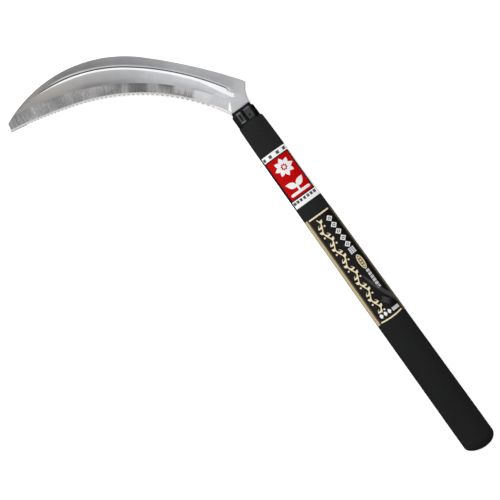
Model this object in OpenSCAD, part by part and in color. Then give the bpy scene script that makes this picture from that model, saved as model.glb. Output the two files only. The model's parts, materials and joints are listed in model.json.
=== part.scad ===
// Serrated hand sickle: a curved saw-edged steel blade, a moulded neck collar
// and a long oval handle with a soft grip over an aluminium core tube.
//
// The sickle lies on its back face, as it rests on a bench: the handle and the
// blade's tip both touch the ground plane. +Y runs along the handle towards
// the blade, the tip points to -X, and +Z is up.

/* [Blade] */
// Thickness of the blade steel
blade_t = 1.4; // [1.2:0.1:1.6]
// Radius of the spine over the front of the blade
spine_r = 101.4; // [100.4:0.2:102]
// Radius of the spine's flatter run down to the neck
spine_neck_r = 414; // [406:1:420]
// Radius of the cutting edge over its heel half
edge_r = 154.6; // [154:0.2:155.4]
// Radius of the cutting edge over its tip half
edge_tip_r = 379; // [372:1:384]
// Radius of the line where the ground bevel starts
grind_r = 190.6; // [190:0.2:191.4]
// Fall of the ground bevel for each millimetre of its width
grind_slope = 0.112; // [0.09:0.002:0.114]
// Fall of the fine final bevel for each millimetre of its width
hone_slope = 0.32; // [0.28:0.02:0.4]
// Thickness left at the cutting edge
edge_t = 0.12; // [0.1:0.01:0.2]
// Radius of the concave curve from the collar up to the shoulder
neck_r = 18; // [17:0.5:18.5]

/* [Teeth] */
// Number of saw teeth
tooth_count = 44; // [36:1:48]
// Depth of the gullets between the teeth
tooth_depth = 0.95; // [0.6:0.05:1.1]
// Pitch of the first tooth, nearest the heel; the pitch falls evenly to the tip
heel_pitch = 4.1; // [3.6:0.1:4.4]
// Length of plain edge at the heel, before the first tooth
heel_plain = 12; // [10:0.5:14]
// Length of plain edge at the tip, after the last tooth
tip_plain = 13; // [11:0.5:15]

/* [Stiffening groove] */
// Width of the pressed groove
groove_w = 3.8; // [3.2:0.1:4]
// Depth of the pressed groove
groove_d = 0.62; // [0.5:0.02:0.74]
// Width of the groove's wider neck end
scoop_w = 5.2; // [4.6:0.1:5.6]
// Radius of the groove's centre line over the front of the blade
groove_r = 114; // [113.6:0.2:114.4]
// Radius of the groove's centre line from there down to the neck
groove_neck_r = 204.1; // [202.1:0.5:206.1]

/* [Collar] */
// Width of the collar's body
collar_w = 18.9; // [18:0.1:19.4]
// Thickness of the collar's body
collar_t = 15.4; // [14.6:0.1:16]
// Length of the collar's body with its lip
collar_len = 11.9; // [11.6:0.1:12.4]
// Width of the raised lip at the collar's front
lip_w = 16.4; // [16:0.1:17]
// Length of the raised lip
lip_len = 2.2; // [1.8:0.1:2.4]
// Clearance around the tang
tang_gap = 0.08; // [0.05:0.01:0.12]

/* [Tang and pins] */
// Width of the tang
tang_w = 12.4; // [12:0.1:12.8]
// Thickness of the tang, ground a little thinner than the blade
tang_t = 1.2; // [1:0.05:1.2]
// Length of the tang below the collar's front
tang_len = 58; // [56:1:62]
// Diameter of the two cross pins
pin_d = 4; // [3:0.5:5]
// Distance of the first pin below the collar's front
pin_y = 26; // [24:1:28]
// Spacing of the two pins
pin_pitch = 20; // [16:1:22]

/* [Core tube] */
// Outside width of the oval tube
tube_w = 17; // [16.6:0.1:17.2]
// Outside thickness of the oval tube
tube_h = 13; // [12.4:0.1:13.2]
// Wall of the tube
tube_wall = 1.2; // [1:0.1:1.4]
// Distance from the collar's front to the tube's closed end
tube_end = 298; // [292:1:300]

/* [Grip] */
// Distance from the collar's front to the end of the grip
grip_end = 310.7; // [308:0.1:312]
// Thickness of the grip
grip_t = 19; // [18.4:0.1:19.6]
// Width of the grip just behind its front lip
front_w = 21.2; // [20.8:0.1:21.6]
// Width of the grip at the front of the labels
label_front_w = 22; // [21.8:0.1:22.4]
// Width of the grip behind the labels
label_back_w = 24.4; // [24:0.1:24.8]
// Width of the grip near its end
back_w = 25.4; // [25:0.1:25.8]
// Radius of the grip's front lip
lip_r = 1.6; // [1.2:0.1:2]
// Height of the grip's domed end
dome_h = 7.8; // [6.6:0.2:8.4]
// Angle at which the domed end is raked
end_rake = 4.3; // [0:0.1:6]

/* [Labels] */
// Thickness of each label
label_t = 0.2; // [0.15:0.05:0.3]
// Front end of the upper label
upper_from = 39.6; // [38.5:0.1:41]
// Length of the upper label
upper_len = 46.2; // [44:0.1:48]
// Front end of the lower label
lower_from = 97; // [95:0.1:99]
// Length of the lower label
lower_len = 94.4; // [92:0.1:96]

/* [Hidden] */
$fa = 3;
$fs = 0.3;
EPS = 0.01;

// Blade outline: arc centres and the angles at which the arcs start and stop,
// in the neck's own frame (origin on the handle's axis at the collar's front)
spine_c = [-107.1, -0.1];
spine_turn = 46.7;
spine_neck_c = spine_c - (spine_neck_r - spine_r) * heading(spine_turn);
shoulder_a = 35.9;
tip_a = 113.9;
edge_c = [-144.7, -74.2];
edge_turn = 72.3;
edge_tip_c = edge_c - (edge_tip_r - edge_r) * heading(edge_turn);
heel_a = 29;
edge_tip_a = 80.5;
grind_c = [-162.8, -94.7];
tip_clip = [-149.5, 88.1];
heel_runout = [-4.4, 9];
heel_runout_a = 66;
neck_x = 8.2;
neck_turn = 47;
shoulder_r = 1;
shoulder_c = polar(spine_neck_c, spine_neck_r - shoulder_r, shoulder_a);
groove_c = [-119.6, -16.4];
groove_turn = 52.8;
groove_neck_c = groove_c - (groove_neck_r - groove_r) * heading(groove_turn);
groove_tip_a = 87.4;
groove_end_a = 29.6;
scoop_a = 32.6;
scoop_shift = 0.6;

// Arc lengths along the cutting edge, from the heel
heel_arc = rad(edge_turn - heel_a) * edge_r;
tip_arc = rad(edge_tip_a - edge_turn) * edge_tip_r;
edge_len = heel_arc + tip_arc;
tooth_run = edge_len - heel_plain - tip_plain;
tip_pitch = 2 * tooth_run / tooth_count - heel_pitch;

// Collar details
collar_x = -0.35;
collar_r = 4;
lip_t = 12.6;
plan_r = 1.5;
window_y = [-11.05, -1.9];
left_window_x = [-6.9, -1.4];
right_window_x = [-0.75, 6];
insert_x = [-6.1, -2];
insert_y = [-10.6, -2.3];
insert_slot_x = [-4.7, -3.1];
insert_slot_y = [-9.3, -3.7];
window_recess = 1.2;
insert_slot_d = 2.2;
tang_hole_d = 1.2;
tang_hole = [2.6, -7.8];
tang_corner = 2;
plug_end = tang_len + 4;
fit_gap = 0.05;

// Tooth profile, as shares of the pitch: the steep front, the flat top of the
// first and the last tooth, and the sloping back
tooth_front = 0.16;
tooth_top = [0.4, 0.14];
tooth_back = 0.3;
// Share of the depth that the flat top falls by
tooth_fall = 0.1;

// Butt plug and grip
plug_len = 18;
flange_t = 2.4;
grip_front = collar_len;
bore_end = tube_end + flange_t + fit_gap;
rib_sink = 0.4;
grip_sides = 60;
// Distances behind the collar's front at which the grip's width is given
grip_at = [18, 38, 197, 290, 320];
label_gap = 0.03;
// Half of each label's wrap, in whole sides of the grip counted from its
// right-hand flank, so that the bare gap lies on the left-hand flank
upper_wrap = 26;
lower_wrap = 27;

// Rest attitude: the blade rolls about the handle's axis until its tip meets
// the plane that the handle lies on
label_skin = label_gap + label_t;
roll = asin((grip_t / 2 + label_skin - blade_t / 2) / -edge_tip()[0]);
widest = back_w / 2;
rest_half_w = label_back_w / 2 + label_skin;
rest_half_t = grip_t / 2 + label_skin;
rest_z = sqrt(pow(rest_half_w * sin(roll), 2) + pow(rest_half_t * cos(roll), 2));
box_x = [edge_tip()[0] * cos(roll), (shoulder_c[0] + shoulder_r) * cos(roll)];
box_y = [-grip_end - dome_drop(), spine_c[1] + spine_r];

function rad(a) = a * PI / 180;
function deg(l, r) = l / r * 180 / PI;
function heading(a) = [cos(a), sin(a)];
function polar(c, r, a) = c + r * heading(a);
function arc(c, r, a0, a1, n) = [for (i = [0:n]) polar(c, r, a0 + (a1 - a0) * i / n)];
function blend(a, b, t) = a + (b - a) * t;

function edge_tip() = polar(edge_tip_c, edge_tip_r, edge_tip_a);

// How much the rake lengthens the domed end
function dome_drop() = dome_h * (sqrt(1 + pow(widest * tan(end_rake) / dome_h, 2)) - 1);

// A point of the cutting edge at arc length l from the heel, set back by inset
function edge_at(l, inset) =
    l < heel_arc
        ? polar(edge_c, edge_r + inset, heel_a + deg(l, edge_r))
        : polar(edge_tip_c, edge_tip_r + inset, edge_turn + deg(l - heel_arc, edge_tip_r));

// Where tooth i starts, and its pitch
function tooth_pitch(i) = blend(heel_pitch, tip_pitch, i / (tooth_count - 1));
function tooth_start(i) =
    heel_plain + i * heel_pitch
    + (tip_pitch - heel_pitch) * i * (i - 1) / (2 * (tooth_count - 1));

// One tooth: a steep front towards the heel, a short flat top and a sloping
// back. The tops grow narrower towards the tip.
function tooth(i) =
    let (p = tooth_pitch(i), l = tooth_start(i),
         top = tooth_front + blend(tooth_top[0], tooth_top[1], i / tooth_count))
    [edge_at(l, tooth_depth),
     edge_at(l + tooth_front * p, 0),
     edge_at(l + top * p, tooth_fall * tooth_depth),
     edge_at(l + (top + tooth_back) * p, tooth_depth)];

// Half-width of the grip at a distance d behind the collar's front
function grip_half(d) =
    lookup(d, [[grip_front, front_w / 2 - 0.2],
               [grip_at[0], front_w / 2],
               [grip_at[1], label_front_w / 2],
               [grip_at[2], label_back_w / 2],
               [grip_at[3], back_w / 2],
               [grip_at[4], back_w / 2]]);

// A point of the grip's oval section, grown outwards by g
function oval(d, a, g) = [(grip_half(d) + g) * cos(a), (grip_t / 2 + g) * sin(a)];

// Everything is drawn in the neck's frame and placed by this module
module place() {
    translate([-(box_x[0] + box_x[1]) / 2, -(box_y[0] + box_y[1]) / 2, rest_z])
        rotate([0, -roll, 0])
            children();
}

// Extrudes a drawing of the X-Z section backwards from y = -from to y = -to
module along_handle(from, to) {
    translate([0, -from, 0])
        rotate([90, 0, 0])
            linear_extrude(to - from)
                children();
}

module rounded_rect(w, h, r) {
    square([w - 2 * r, h], center = true);
    square([w, h - 2 * r], center = true);
    for (x = [-1, 1], y = [-1, 1])
        translate([x * (w / 2 - r), y * (h / 2 - r)])
            circle(r);
}

// An oval with straight flanks, as the tube is drawn
module obround(w, h) {
    square([w - h, h], center = true);
    for (x = [-1, 1])
        translate([x * (w - h) / 2, 0])
            circle(h / 2);
}

// Part of a ring about centre c: its section is drawn with X as the radius
module ring_part(c, a0, a1) {
    translate([c[0], c[1], 0])
        rotate([0, 0, a0])
            rotate_extrude(angle = a1 - a0, $fa = 1)
                children();
}

module blade_outline() {
    polygon(concat(
        arc([neck_x + neck_r, fit_gap], neck_r, 179, 180 - neck_turn, 8),
        arc(shoulder_c, shoulder_r, -20, shoulder_a, 4),
        arc(spine_neck_c, spine_neck_r, shoulder_a + 0.4, spine_turn, 26),
        arc(spine_c, spine_r, spine_turn + 1.2, tip_a, 56),
        [tip_clip],
        [for (l = [edge_len:-3:edge_len - tip_plain]) edge_at(l, 0)],
        [for (i = [tooth_count - 1:-1:0], j = [3:-1:0]) tooth(i)[j]],
        [for (l = [heel_plain:-3:0]) edge_at(l, 0)],
        [[collar_x - lip_w / 2, fit_gap], [neck_x, fit_gap]]
    ));
}

module tang_outline() {
    polygon([[-tang_w / 2, 2], [tang_w / 2, 2],
             [tang_w / 2, -tang_len + tang_corner],
             [tang_w / 2 - tang_corner, -tang_len],
             [-tang_w / 2 + tang_corner, -tang_len],
             [-tang_w / 2, -tang_len + tang_corner]]);
}

// Section of the groove's press tool, from its own circle of radius r whose
// chord of width w lies on the face at height z
module groove_section(radius, w, d, wall) {
    r = (w * w / 4 + d * d) / (2 * d);
    translate([radius, blade_t / 2 + r - d])
        circle(r + wall);
}

module groove_run(wall) {
    ring_part(groove_c, groove_turn, groove_tip_a)
        groove_section(groove_r, groove_w, groove_d, wall);
    ring_part(groove_neck_c, scoop_a, groove_turn)
        groove_section(groove_neck_r, groove_w, groove_d, wall);
    ring_part(groove_neck_c, groove_end_a, scoop_a + 4)
        groove_section(groove_neck_r - scoop_shift, scoop_w, groove_d, wall);
}

// The raised rib that the groove leaves on the back face
module rib() {
    intersection() {
        groove_run(blade_t);
        translate([-200, -20, -blade_t / 2 - 2])
            cube([240, 160, 2 + rib_sink]);
    }
}

// The ground bevel: all of the steel above a shallow cone, up to the line
// where the grind runs out at the heel
module grind_cut() {
    reach = 24;
    difference() {
        ring_part(grind_c, 20, 90)
            polygon([[grind_r - reach, blade_t / 2 - reach * grind_slope],
                     [grind_r, blade_t / 2],
                     [grind_r, blade_t],
                     [grind_r - reach, blade_t]]);
        translate([heel_runout[0], heel_runout[1], -5])
            rotate([0, 0, heel_runout_a])
                translate([-60, -60, 0])
                    cube([120, 60, 10]);
    }
}

// The fine final bevel that follows the cutting edge
module hone_cut() {
    low = -blade_t / 2 + edge_t;
    out = 4;
    into = 3;
    for (half = [[edge_c, edge_r, heel_a - 2, edge_turn],
                 [edge_tip_c, edge_tip_r, edge_turn, edge_tip_a + 1]])
        ring_part(half[0], half[2], half[3])
            polygon([[half[1] - out, low - out * hone_slope],
                     [half[1] + into, low + into * hone_slope],
                     [half[1] + into, blade_t],
                     [half[1] - out, blade_t]]);
}

module blade() {
    color("lightgray")
        place()
            difference() {
                union() {
                    translate([0, 0, -blade_t / 2])
                        linear_extrude(blade_t)
                            blade_outline();
                    translate([0, 0, -tang_t / 2])
                        linear_extrude(tang_t)
                            tang_outline();
                    rib();
                }
                groove_run(0);
                grind_cut();
                hone_cut();
                for (y = [pin_y, pin_y + pin_pitch])
                    translate([0, -y, -blade_t])
                        cylinder(h = 2 * blade_t, d = pin_d + 2 * fit_gap);
                translate([tang_hole[0], tang_hole[1], -blade_t])
                    cylinder(h = 2 * blade_t, d = tang_hole_d);
            }
}

// A block over the given X and Y spans, from height z upwards
module window_block(x, y, z, h) {
    translate([x[0], y[0], z])
        cube([x[1] - x[0], y[1] - y[0], h]);
}

// Plan of the collar above the grip: a lip, then a body with rounded shoulders
module collar_plan() {
    translate([collar_x - lip_w / 2, -lip_len - 2])
        square([lip_w, lip_len + 2]);
    translate([collar_x, -(lip_len + collar_len) / 2])
        rounded_rect(collar_w, collar_len - lip_len, plan_r);
    translate([collar_x - collar_w / 2, -collar_len])
        square([collar_w, plan_r + 1]);
}

module neck_collar() {
    color("dimgray")
        place()
            difference() {
                union() {
                    intersection() {
                        translate([0, 0, -collar_t])
                            linear_extrude(2 * collar_t)
                                collar_plan();
                        translate([collar_x, 0, 0])
                            union() {
                                along_handle(0, lip_len + 1)
                                    rounded_rect(lip_w, lip_t, collar_r);
                                along_handle(lip_len, collar_len)
                                    rounded_rect(collar_w, collar_t, collar_r);
                            }
                    }
                    along_handle(collar_len - EPS, plug_end)
                        obround(tube_w - 2 * tube_wall - 2 * fit_gap,
                                tube_h - 2 * tube_wall - 2 * fit_gap);
                }
                translate([-tang_w / 2 - tang_gap, -tang_len - 1, -tang_t / 2 - tang_gap])
                    cube([tang_w + 2 * tang_gap, tang_len + 2, tang_t + 2 * tang_gap]);
                window_block(left_window_x, window_y, 0, collar_t);
                window_block(right_window_x, window_y, 0, collar_t);
                for (y = [pin_y, pin_y + pin_pitch])
                    translate([0, -y, -collar_t])
                        cylinder(h = 2 * collar_t, d = pin_d + 2 * fit_gap);
            }
}

// Moulded insert in the left-hand window, bearing on the tang
module locking_insert() {
    color("darkgray")
        place()
            difference() {
                window_block(insert_x, insert_y, tang_t / 2 + tang_gap,
                             (collar_t - tang_t) / 2 - window_recess);
                window_block(insert_slot_x, insert_slot_y,
                             collar_t / 2 - window_recess - insert_slot_d, collar_t);
            }
}

module core_tube() {
    color("silver")
        place()
            difference() {
                along_handle(collar_len + fit_gap, tube_end)
                    obround(tube_w, tube_h);
                along_handle(collar_len - 1, tube_end + 1)
                    obround(tube_w - 2 * tube_wall, tube_h - 2 * tube_wall);
                for (y = [pin_y, pin_y + pin_pitch])
                    translate([0, -y, -collar_t])
                        cylinder(h = 2 * collar_t, d = pin_d + 2 * fit_gap);
            }
}

module tang_pin(y) {
    color("gray")
        place()
            translate([0, -y, -tube_h / 2 + fit_gap])
                cylinder(h = tube_h - 2 * fit_gap, d = pin_d);
}

module front_pin() {
    tang_pin(pin_y);
}

module rear_pin() {
    tang_pin(pin_y + pin_pitch);
}

module butt_plug() {
    color("darkslategray")
        place()
            union() {
                along_handle(tube_end + fit_gap / 2, tube_end + flange_t)
                    obround(tube_w, tube_h);
                along_handle(tube_end - plug_len, tube_end + flange_t / 2)
                    obround(tube_w - 2 * tube_wall - 2 * fit_gap,
                            tube_h - 2 * tube_wall - 2 * fit_gap);
            }
}

// The grip's outside: rings of the oval section from the rounded front lip to
// the domed end. Each ring is [distance, inset, scale, rake].
function grip_rings() = concat(
    [for (a = [0:22.5:90]) [grip_front + lip_r * (1 - cos(a)), lip_r * (1 - sin(a)), 1, 0]],
    [for (i = [0:3]) [grip_at[i], 0, 1, 0]],
    [for (a = [0:9:81]) [grip_end - dome_h * (1 - sin(a)), 0, cos(a), sin(a) * tan(end_rake)]]
);

function ring_point(ring, a) =
    let (p = oval(ring[0], a, -ring[1]) * ring[2])
    [p[0], -ring[0] - p[0] * ring[3], p[1]];

module grip_shell() {
    rings = grip_rings();
    sides = grip_sides;
    last = len(rings) - 1;
    front_hub = len(rings) * sides;
    end_hub = front_hub + 1;
    points = concat(
        [for (ring = rings, k = [0:sides - 1]) ring_point(ring, k * 360 / sides)],
        [[0, -grip_front, 0], [0, -grip_end, 0]]
    );
    faces = concat(
        [for (i = [0:last - 1], k = [0:sides - 1])
            let (n = (k + 1) % sides)
            [i * sides + k, i * sides + n, (i + 1) * sides + n]],
        [for (i = [0:last - 1], k = [0:sides - 1])
            let (n = (k + 1) % sides)
            [i * sides + k, (i + 1) * sides + n, (i + 1) * sides + k]],
        [for (k = [0:sides - 1]) [front_hub, (k + 1) % sides, k]],
        [for (k = [0:sides - 1]) [end_hub, last * sides + k, last * sides + (k + 1) % sides]]
    );
    polyhedron(points, faces, convexity = 4);
}

module grip_sleeve() {
    color([0.14, 0.14, 0.14])
        place()
            difference() {
                grip_shell();
                along_handle(grip_front - 1, bore_end)
                    obround(tube_w + 2 * fit_gap, tube_h + 2 * fit_gap);
            }
}

// A label: a thin skin on the grip. It reaches the given number of the grip's
// sides over and under from the right-hand flank, so its facets lie on the
// grip's.
module label(from, to, wrap) {
    n = 2 * wrap;
    m = n + 1;
    points = [for (row = [[from, label_gap], [to, label_gap],
                          [to, label_skin], [from, label_skin]],
                   k = [0:n])
              let (p = oval(row[0], (wrap - k) * 360 / grip_sides, row[1]))
              [p[0], -row[0], p[1]]];
    faces = concat(
        [for (j = [0:3], k = [0:n - 1]) [j * m + k, j * m + k + 1, (j + 1) % 4 * m + k + 1]],
        [for (j = [0:3], k = [0:n - 1]) [j * m + k, (j + 1) % 4 * m + k + 1, (j + 1) % 4 * m + k]],
        [[0, m, 2 * m, 3 * m], [3 * m + n, 2 * m + n, m + n, n]]
    );
    polyhedron(points, faces, convexity = 4);
}

module upper_label() {
    color("whitesmoke")
        place()
            label(upper_from, upper_from + upper_len, upper_wrap);
}

module lower_label() {
    color([0.2, 0.18, 0.12])
        place()
            label(lower_from, lower_from + lower_len, lower_wrap);
}

blade();
neck_collar();
locking_insert();
core_tube();
front_pin();
rear_pin();
butt_plug();
grip_sleeve();
upper_label();
lower_label();
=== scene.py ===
"""The looks of a serrated hand sickle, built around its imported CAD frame.

Pieces are drawn in the neck's own frame, in millimetres: the origin is on the
handle's axis at the collar's front, +Y runs along the handle towards the
blade, -X points to the tip and z = 0 is the middle of the blade's thickness.
PLACE carries them into the row's frame, in metres.
"""

import json
import math

import bmesh
import bpy
import numpy as np
from mathutils import Matrix, Vector
from mathutils.geometry import delaunay_2d_cdt


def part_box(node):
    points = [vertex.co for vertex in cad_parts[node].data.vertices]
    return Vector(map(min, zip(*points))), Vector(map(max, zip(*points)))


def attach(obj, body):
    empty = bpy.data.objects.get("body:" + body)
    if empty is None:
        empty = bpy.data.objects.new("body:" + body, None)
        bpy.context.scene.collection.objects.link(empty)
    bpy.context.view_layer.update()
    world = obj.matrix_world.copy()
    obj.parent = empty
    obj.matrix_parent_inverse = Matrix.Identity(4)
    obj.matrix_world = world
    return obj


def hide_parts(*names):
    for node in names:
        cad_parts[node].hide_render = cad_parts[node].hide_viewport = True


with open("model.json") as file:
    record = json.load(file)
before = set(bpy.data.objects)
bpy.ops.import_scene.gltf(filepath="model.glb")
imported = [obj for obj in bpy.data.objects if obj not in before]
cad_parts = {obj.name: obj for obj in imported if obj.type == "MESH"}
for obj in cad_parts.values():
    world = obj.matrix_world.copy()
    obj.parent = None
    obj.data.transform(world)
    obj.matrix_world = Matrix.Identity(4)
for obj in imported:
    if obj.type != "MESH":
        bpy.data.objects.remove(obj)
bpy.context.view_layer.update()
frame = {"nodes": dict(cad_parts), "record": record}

MM = 0.001
# Edges sharper than this many degrees stay hard
BLADE_SHARP, PRINT_SHARP, MOULDED_SHARP, GRIP_SHARP, CARVED_SHARP = 12, 30, 32, 40, 40

# ---------------------------------------------------------------- dimensions

BLADE_T = 1.4
TANG_T = 1.2
CLEARANCE = 0.08
TANG_W = 12.4
TANG_LEN = 58
SEAT = 0.05

SPINE_C, SPINE_R, SPINE_TURN, TIP_A = np.array([-107.1, -0.1]), 101.4, 46.7, 113.9
SPINE_NECK_R, SHOULDER_A, SHOULDER_R = 414, 35.9, 1.0
EDGE_C, EDGE_R, HEEL_A, EDGE_TURN = np.array([-144.7, -74.2]), 154.6, 29.0, 72.3
EDGE_TIP_R, EDGE_TIP_A = 379, 80.5
GRIND_C, GRIND_R = np.array([-162.8, -94.7]), 190.6
TIP_CLIP = (-149.5, 88.1)
NECK_X, NECK_R, NECK_TURN = 8.2, 18, 47

GROOVE_C, GROOVE_R, GROOVE_TURN, GROOVE_TIP_A = np.array([-119.6, -16.4]), 113.45, 52.8, 88.5
GROOVE_NECK_R, GROOVE_END_A = 203.35, 29.1
GROOVE_D, GROOVE_RIM, GROOVE_WALL, GROOVE_INNER, SCOOP = 0.68, 2.25, 1.0, 1.5, 2.5
RIM_D, GROOVE_EASE = 0.14, 0.08
RIB_H, RIB_MARGIN = 0.6, 0.2

TOOTH_COUNT, TOOTH_DEPTH, TOOTH_FLAT, HEEL_PITCH = 44, 0.95, (0.4, 0.14), 4.1
HEEL_PLAIN, TIP_PLAIN = 12, 13
EDGE_T, HONE_W, HONE_RISE, TOOTH_RISE = 0.12, 2.0, 0.17, 0.22
RUNOUT_AT, RUNOUT_A, RUNOUT_RISE = np.array([-3.7, 8.85]), 64.0, 0.34
CHAMFER, CHAMFER_FALL = 0.3, 0.7

COLLAR_X, COLLAR_W, COLLAR_T, COLLAR_LEN, COLLAR_R = -0.35, 18.9, 15.4, 11.9, 4.0
LIP_W, LIP_T, LIP_LEN, LIP_EDGE_R, PLAN_R = 16.4, 12.6, 2.2, 0.4, 1.5
WINDOW_Y = (-11.05, -1.9)
LEFT_WINDOW_X, RIGHT_WINDOW_X = (-6.9, -1.4), (-0.75, 6.0)
INSERT_X, INSERT_Y = (-6.1, -2.0), (-10.6, -2.3)
SLOT_X, SLOT_Y, SLOT_FLOOR = (-4.7, -3.1), (-9.3, -3.7), 0.8
TANG_HOLE, TANG_HOLE_D = (2.6, -7.8), 1.2
PLATE_X, PLATE_PAINTED_SHEEN, HOLE_PAINTED_SHADE = (0.3, 5.6), (-3.4, -2.6), 0.3
TUBE_W, TUBE_H, TUBE_WALL = 17.0, 13.0, 1.2

GRIP_FRONT, GRIP_END, GRIP_T, BORE_END = 11.9, 310.7, 19.0, 300.45
GRIP_HALF = ((11.9, 10.4), (18, 10.6), (38, 11.0), (197, 12.2), (290, 12.7), (320, 12.7))
LIP_R, DOME_H, END_RAKE, GRIP_SIDES = 1.6, 7.8, 4.3, 144
FILM_GAP, FILM_T, INK_T = 0.03, 0.2, 0.04
# Heights above the grip of the film, of its print and of the print's second layer
FILM = (FILM_GAP, FILM_GAP + FILM_T)
PRINT = (FILM[1], FILM[1] + INK_T)
OVERPRINT = (PRINT[1], PRINT[1] + INK_T)
UPPER_LABEL, LOWER_LABEL = (40.3, 85.9), (97.1, 191.8)
UPPER_WRAP, LOWER_WRAP = 156, 162
FLOWER_AT, OVAL_AT, LOZENGES_AT, LOZENGE_STEP = (0.2, 54.6), (5.75, 144.8), (5.15, 104.9), 5.85

# ------------------------------------------------------------- place and view

tube_low, tube_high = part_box("core_tube")
_, collar_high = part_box("neck_collar")
mounts = {m["name"]: m for m in frame["record"]["mounts"]}
roll = math.asin(mounts["blade_back"]["axis"][0])
AXIS = (tube_low + tube_high) / 2
PLACE = (
    Matrix.Translation((AXIS.x, collar_high.y, AXIS.z))
    @ Matrix.Rotation(-roll, 4, "Y")
    @ Matrix.Scale(MM, 4)
)

# The picture's right and up in the row's frame: the handle leans to the right
VIEW_TURN = math.radians(-35.7)
VIEW_RIGHT = Vector((math.cos(VIEW_TURN), math.sin(VIEW_TURN), 0))
VIEW_UP = Vector((-math.sin(VIEW_TURN), math.cos(VIEW_TURN), 0))
VIEW_CENTRE = Vector((0.0119, 0.0149, 0.007))
VIEW_WIDTH, VIEW_DISTANCE = 0.3729, 1.6
TENT_LIGHT, FLOOR_REACH, FLOOR_GLOW = 0.72, 3.0, 0.6


# ------------------------------------------------------------- plane geometry


def polar(centre, radius, angle):
    a = math.radians(angle)
    return (centre[0] + radius * math.cos(a), centre[1] + radius * math.sin(a))


def arc(centre, radius, start, stop, steps):
    return [polar(centre, radius, start + (stop - start) * i / steps) for i in range(steps + 1)]


def smoothstep(x, low, high):
    t = np.clip((np.asarray(x, float) - low) / (high - low), 0, 1)
    return t * t * (3 - 2 * t)


def band(x, rise, fall):
    """1 between two ramps, each given as the span over which it changes."""
    return smoothstep(x, *rise) * (1 - smoothstep(x, *fall))


def fillet(radius, angle):
    """How far in and how far back a rounding has come at an angle round it."""
    a = math.radians(angle)
    return radius * (1 - math.sin(a)), radius * (1 - math.cos(a))


def heading(angle):
    return np.array([math.cos(math.radians(angle)), math.sin(math.radians(angle))])


def radial(points, centre):
    """Distance and angle in degrees of points about a centre."""
    d = points - centre
    return np.hypot(d[:, 0], d[:, 1]), np.degrees(np.arctan2(d[:, 1], d[:, 0]))


def distance_to_chain(points, chain):
    """The shortest distance from each point to an open chain of segments."""
    a, b = np.array(chain[:-1]), np.array(chain[1:])
    ab = b - a
    best = np.full(len(points), np.inf)
    for start, span in zip(a, ab):
        t = np.clip(((points - start) @ span) / max(span @ span, 1e-12), 0, 1)
        gap = points - start - t[:, None] * span
        best = np.minimum(best, np.hypot(gap[:, 0], gap[:, 1]))
    return best


def winding(points, loops):
    """How many times the closed loops go round each point."""
    result = np.zeros(len(points), int)
    x, y = points[:, 0], points[:, 1]
    for loop in loops:
        pts = np.array(loop)
        for (x0, y0), (x1, y1) in zip(pts, np.roll(pts, -1, axis=0)):
            if y0 == y1:
                continue
            crosses = ((y0 > y) != (y1 > y)) & (x < (x1 - x0) * (y - y0) / (y1 - y0) + x0)
            result += np.where(crosses, 1 if y1 > y0 else -1, 0)
    return result


def area(loop):
    x, y = np.array(loop).T
    return float(x @ np.roll(y, -1) - y @ np.roll(x, -1)) / 2


def triangulate(loops, holes=(), lines=()):
    """Triangles over the union of closed loops less their holes, with extra
    lines kept as edges."""
    loops = [loop if area(loop) > 0 else loop[::-1] for loop in loops]
    points, edges = [], []
    for loop in [*loops, *holes]:
        first = len(points)
        points += [Vector(p) for p in loop]
        edges += [(first + i, first + (i + 1) % len(loop)) for i in range(len(loop))]
    for line in lines:
        first = len(points)
        points += [Vector(p) for p in line]
        edges += [(first + i, first + i + 1) for i in range(len(line) - 1)]
    out, _, faces, _, _, _ = delaunay_2d_cdt(points, edges, [], 0, 1e-4)
    flat = np.array([(p[0], p[1]) for p in out])
    tris = np.array([f for f in faces if len(f) == 3])
    middle = flat[tris].mean(axis=1)
    tris = tris[(winding(middle, loops) != 0) & (winding(middle, holes) == 0)]
    a, b, c = flat[tris[:, 0]], flat[tris[:, 1]], flat[tris[:, 2]]
    turn = (b[:, 0] - a[:, 0]) * (c[:, 1] - a[:, 1]) - (b[:, 1] - a[:, 1]) * (c[:, 0] - a[:, 0])
    tris[turn < 0] = tris[turn < 0][:, ::-1]
    tris = tris[np.abs(turn) > 1e-7]
    used = np.unique(tris)
    index = np.full(len(flat), -1)
    index[used] = np.arange(len(used))
    return flat[used], index[tris]


# --------------------------------------------------------------- mesh helpers


def add(name, data):
    """A new object in the scene."""
    obj = bpy.data.objects.new(name, data)
    bpy.context.scene.collection.objects.link(obj)
    return obj


def closed_mesh(name, points, faces):
    """An object from points in the neck's frame, with its faces turned outwards."""
    mesh = bpy.data.meshes.new(name)
    mesh.from_pydata([PLACE @ Vector(p) for p in points], [], [list(map(int, f)) for f in faces])
    mesh.validate()
    work = bmesh.new()
    work.from_mesh(mesh)
    bmesh.ops.recalc_face_normals(work, faces=work.faces)
    work.to_mesh(mesh)
    work.free()
    return add(name, mesh)


def smooth(mesh, sharp):
    """Smooth shading with edges over sharp degrees kept hard."""
    mesh.shade_smooth()
    mesh.set_sharp_from_angle(angle=math.radians(sharp))


def piece(name, points, faces, material, slot, sharp, replaces=()):
    """A finished piece of the sickle that rides on its one body."""
    obj = closed_mesh(name, points, faces)
    smooth(obj.data, sharp)
    obj.data.materials.append(material)
    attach(obj, "root")
    if replaces:
        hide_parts(*replaces)
    return obj


def prism(flat, tris, bottom, top):
    """A closed solid over a plane triangulation: bottom and top are point lists."""
    count = len(flat)
    faces = [tuple(count + t) for t in tris] + [tuple(t[::-1]) for t in tris]
    seen = {}
    for a, b, c in tris:
        for edge in ((a, b), (b, c), (c, a)):
            key = (min(edge), max(edge))
            seen[key] = None if key in seen else edge
    walls = [(a, b, count + b, count + a) for a, b in (e for e in seen.values() if e)]
    return [*bottom, *top], faces + walls


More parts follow.
